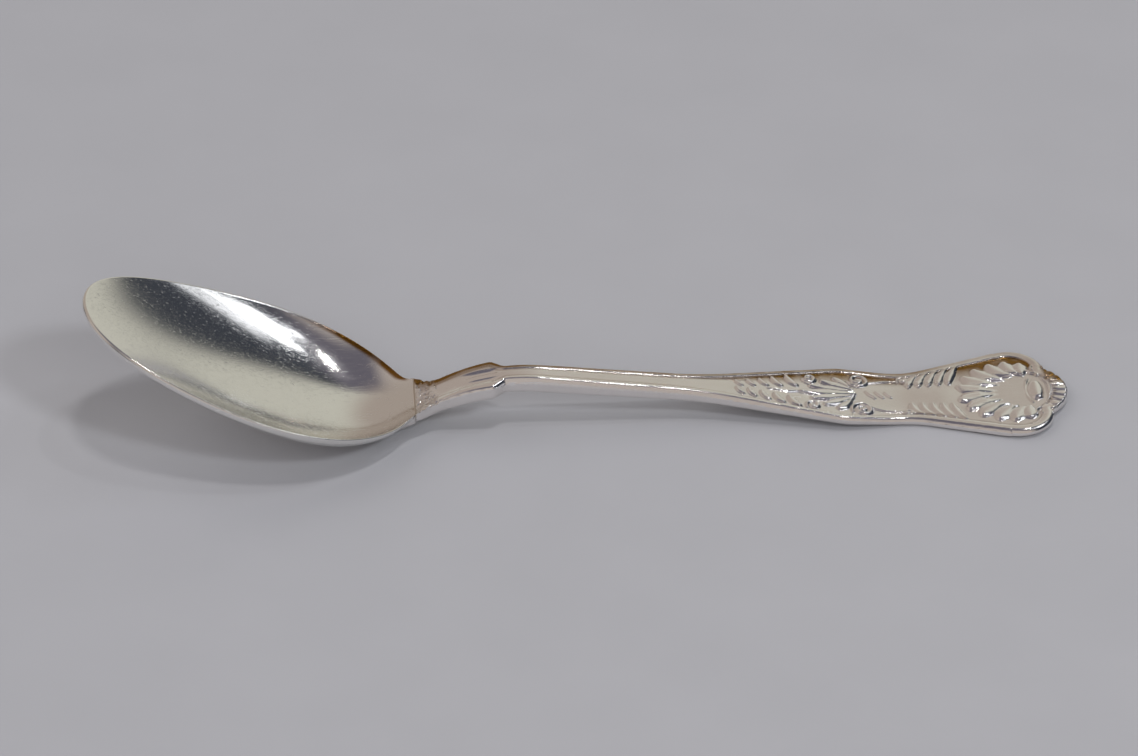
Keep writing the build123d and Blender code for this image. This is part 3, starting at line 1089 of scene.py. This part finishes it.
    def build(self) -> Piece:
        """Builds the handle as one closed skin from cross-sections.

        Returns:
            The mesh object.
        """
        x = self.places()
        half = self.half_width(x)
        even = np.linspace(-1, 1, self.across)
        share = self.bunching * np.sin(even * math.pi / 2) + (1 - self.bunching) * even
        gx = np.repeat(x[:, None], self.across, axis=1)
        gy = half[:, None] * share[None, :]
        depth = self.edge_distance(gx, gy)
        frame_x = gx + self.bowl.joint_x
        relief = self.relief(frame_x, gy)
        stem = ramp(*self.stem_rise, gx)
        plain = self.top.at(gx) + self.struck(gx, gy, depth, relief)
        top = plain * stem + self.neck(gx, gy, depth) * (1 - stem)
        top = np.where(self.in_tongue(gx), self.bowl.underside(frame_x, gy) - self.start, top)
        low_y = half[:, None] * np.linspace(1, -1, self.across_under)[None, :]
        low_x = np.repeat(x[:, None], self.across_under, axis=1)
        low = self.lower(low_x, low_y, half[:, None])
        middle = low[:, self.across_under // 2][:, None]
        top = np.maximum(top, np.maximum(middle, low[:, :1]) + self.least_thickness)
        upper = np.stack([frame_x, gy, top], axis=2)
        lower = np.stack([low_x + self.bowl.joint_x, low_y, low], axis=2)
        step = (np.arange(self.wall_steps) + 1)[None, :, None] / (self.wall_steps + 1)
        far = upper[:, -1:] + (lower[:, :1] - upper[:, -1:]) * step
        near = lower[:, -1:] + (upper[:, :1] - lower[:, -1:]) * step
        loop = np.concatenate([upper, far, lower, near], axis=1)
        columns = loop.shape[1]
        points = loop.reshape(-1, 3)
        faces = [face[::-1] for face in wrap_grid(len(x), columns)]
        faces.append(tuple(range(columns)))
        faces.append(tuple(range(len(points) - columns, len(points)))[::-1])
        piece = mesh_object("struck_handle", points, faces)
        # tarnish in hollows and heat pits, painted reflection along the far side
        amount = self.tarnish_and_reflection.at(gx, gy, gy / half[:, None], depth / self.thread_width(gx), relief)
        self.shade(piece, gx, amount + self.pitting(gx, gy))
        return piece

    def lower(self, x: Array, y: Array, half: Array) -> Array:
        """Height of the underside: the side view's lower line, rounded across the neck and along the edges.

        Args:
            x: Places from the joint.
            y: Places across.
            half: Half-widths there.

        Returns:
            Heights above the table.
        """
        belly = self.belly_height + self.belly.at(x, y) - self.belly_sink * ramp(*self.belly_end, x)
        belly = belly - self.joint_sink * ramp(*self.joint_fade, x)
        line = np.maximum(self.under.at(x), 0.0)
        tongue = self.in_tongue(x)
        line = np.where(tongue, line, np.maximum(line, belly))
        wide = self.edge_round + self.neck_under_round * (1 - ramp(*self.neck_under_fall, x))
        edge = self.joint_round + wide * ramp(*self.neck_under_rise, x)
        return line + self.rounding(half - np.abs(y), np.where(tongue, self.tongue_round, edge))

    def shade(self, piece: Piece, x: Array, amount: Array) -> None:
        """Stores where tarnish and painted reflection lie, and where heat has pitted the neck.

        Args:
            piece: The handle.
            x: Places from the joint of the upper points.
            amount: Share of tarnish and painted reflection at the upper points.
        """
        under = np.full((x.shape[0], self.across_under + 2 * self.wall_steps), self.tarnish_and_reflection.under)
        paint(piece, "tarnish_and_reflection", np.concatenate([np.clip(amount, 0, 1), under], axis=1).ravel())
        pits = ramp(*self.heat_rise, x) * ramp(*self.heat_fall, x)
        paint(piece, "pits", np.concatenate([pits, 0 * under], axis=1).ravel())

    def dress(self, piece: Piece) -> None:
        """Gives the handle its finish and its place in the frame.

        Args:
            piece: The handle.
        """
        piece.data.materials.append(StruckSilver().make())
        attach(piece, "root")
        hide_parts("handle")


@dataclass(frozen=True)
class SolderSeam:
    """The film of solder between bowl and handle, which keeps the shape of its solid."""

    node: str = "solder_joint"

    def build(self) -> Piece:
        """Finds the seam among the solids of the frame."""
        return bpy.data.objects[self.node]

    def dress(self, piece: Piece) -> None:
        """Gives the seam its finish."""
        piece.data.materials.clear()
        piece.data.materials.append(SilverSolder().make())


@dataclass(frozen=True)
class Lamp:
    """A soft light that faces the spoon.

    Azimuths are degrees from X towards Y, sizes and distances are metres, and power is in watts.
    """

    name: str
    azimuth: float
    elevation: float
    away: float
    width: float
    height: float
    power: float
    tint: str
    mirrored: bool
    roll: float = 0.0

    def hang(self) -> None:
        """Puts the light in the scene."""
        data = bpy.data.lights.new(self.name, "AREA")
        data.shape = "RECTANGLE"
        data.size, data.size_y = self.width, self.height
        data.energy = self.power
        data.color = linear(self.tint)[:3]
        way = direction(self.azimuth, self.elevation)
        light = bpy.data.objects.new(self.name, data)
        turned = way.to_track_quat("Z", "Y").to_matrix().to_4x4()
        rolled = turned @ Matrix.Rotation(math.radians(self.roll), 4, "Z")
        light.matrix_world = Matrix.Translation(way * self.away) @ rolled
        light.visible_glossy = self.mirrored
        bpy.context.scene.collection.objects.link(light)


@dataclass(frozen=True)
class Patch:
    """A soft round area of the room, as seen from the spoon; all in degrees."""

    azimuth: float
    elevation: float
    full: float
    gone: float
    colour: str


def direction(azimuth: float, elevation: float) -> Vector:
    """Direction at an azimuth from X towards Y and an elevation above the table, both in degrees."""
    a, e = math.radians(azimuth), math.radians(elevation)
    return Vector((math.cos(a) * math.cos(e), math.sin(a) * math.cos(e), math.sin(e)))


@dataclass(frozen=True)
class Studio:
    """Table, light and camera; the camera's sizes in millimetres and degrees."""

    elevation: float = 34.22
    azimuth: float = -3.92
    distance: float = 712.2
    target: tuple[float, float, float] = (-1.055, 9.517, 0.0)
    focal_px: float = 5000.0
    frame_px: tuple[int, int] = (1138, 756)
    sensor_mm: float = 36.0
    clip_m: Span = (0.01, 20.0)
    table_half_m: float = 3.0
    room: str = "#363A43"
    patches: tuple[Patch, ...] = (
        Patch(-120, 78, 25, 50, "#64616C"),
        Patch(-90, 20, 30, 52, "#B5ADA8"),
        Patch(180, 28, 22, 42, "#B4AAA4"),
        Patch(95.9, 29.0, 38, 43, "#C5C4BA"),
        Patch(118, 35, 16, 44, "#A79C94"),
    )
    lamps: tuple[Lamp, ...] = (
        Lamp("window", 7.5, 50, 1.6, 0.46, 0.23, 1.22, "#F6F9FF", True, -27),
        Lamp("window_edge", 24, 42, 1.6, 0.25, 0.15, 0.16, "#F6F9FF", True, -27),
        Lamp("upper_pane", -8, 59, 1.6, 0.4, 0.05, 0.36, "#F6F9FF", True, -40),
        Lamp("side_pane", 17, 54, 1.6, 0.06, 0.3, 0.34, "#F6F9FF", True, 14),
        Lamp("bulb", 4, 74.5, 1.6, 0.08, 0.08, 1.3, "#FFFFFF", True),
        Lamp("ceiling", -65, 80, 1.5, 0.14, 0.14, 3.9, "#FBFAFA", False),
        Lamp("second_ceiling", -55.5, 44, 1.5, 0.18, 0.18, 6.0, "#F6FAFF", False),
        Lamp("front_fill", -90, 32, 2.0, 2.4, 1.4, 16.5, "#F4F7FF", False),
        Lamp("left_fill", 150, 40, 2.0, 1.6, 1.4, 8.0, "#F4F7FF", False),
    )

    def camera(self) -> None:
        """Places the camera at the photograph's angle."""
        data = bpy.data.cameras.new("camera")
        data.sensor_fit = "HORIZONTAL"
        data.sensor_width = self.sensor_mm
        data.lens = self.focal_px / self.frame_px[0] * self.sensor_mm
        data.clip_start, data.clip_end = self.clip_m
        e, a = math.radians(self.elevation), math.radians(self.azimuth)
        back = Vector((math.sin(a) * math.cos(e), -math.cos(a) * math.cos(e), math.sin(e)))
        camera = bpy.data.objects.new("camera", data)
        eye = (Vector(self.target) + back * self.distance) * MM
        turned = back.to_track_quat("Z", "Y").to_matrix().to_4x4()
        camera.matrix_world = Matrix.Translation(eye) @ turned
        bpy.context.scene.collection.objects.link(camera)
        bpy.context.scene.camera = camera

    def floor(self) -> None:
        """Lays the table top under the spoon."""
        mesh = bpy.data.meshes.new("table_top")
        half = self.table_half_m
        corners = [(-half, -half, 0), (half, -half, 0), (half, half, 0), (-half, half, 0)]
        mesh.from_pydata(corners, [], [(0, 1, 2, 3)])
        table = bpy.data.objects.new("table_top", mesh)
        mesh.materials.append(MattTable().make())
        bpy.context.scene.collection.objects.link(table)

    def world(self) -> None:
        """Surrounds the scene with a dim room that has a pale wall behind the spoon."""
        world = bpy.data.worlds.new("room")
        world.use_nodes = True
        bpy.context.scene.world = world
        tree = world.node_tree
        ground = tree.nodes["Background"]
        way = add_node(tree, "ShaderNodeTexCoord").outputs["Generated"]
        colour: tuple | Socket = linear(self.room)
        for patch in self.patches:
            towards = {0: way, 1: tuple(direction(patch.azimuth, patch.elevation))}
            facing = add_node(tree, "ShaderNodeVectorMath", towards, operation="DOT_PRODUCT").outputs["Value"]
            gone, full = [math.cos(math.radians(angle)) for angle in (patch.gone, patch.full)]
            edge = {"Value": facing, "From Min": gone, "From Max": full}
            amount = add_node(tree, "ShaderNodeMapRange", edge, interpolation_type="SMOOTHSTEP").outputs[0]
            colour = add_mix(tree, amount, colour, linear(patch.colour))
        tree.links.new(colour, ground.inputs["Color"])

    def build(self) -> None:
        """Sets up table, light and camera."""
        bpy.context.scene.view_settings.view_transform = "Standard"
        self.floor()
        self.world()
        for lamp in self.lamps:
            lamp.hang()
        self.camera()


def main() -> None:
    """Builds the pieces in order and reports each one."""
    logging.basicConfig(level=logging.INFO, format="%(message)s")
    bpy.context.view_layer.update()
    for maker in (Bowl(), Handle(), SolderSeam()):
        piece = maker.build()
        maker.dress(piece)
        LOG.info("%s: %d points, %d faces", piece.name, len(piece.data.vertices), len(piece.data.polygons))
    Studio().build()


if __name__ == "__main__":
    main()
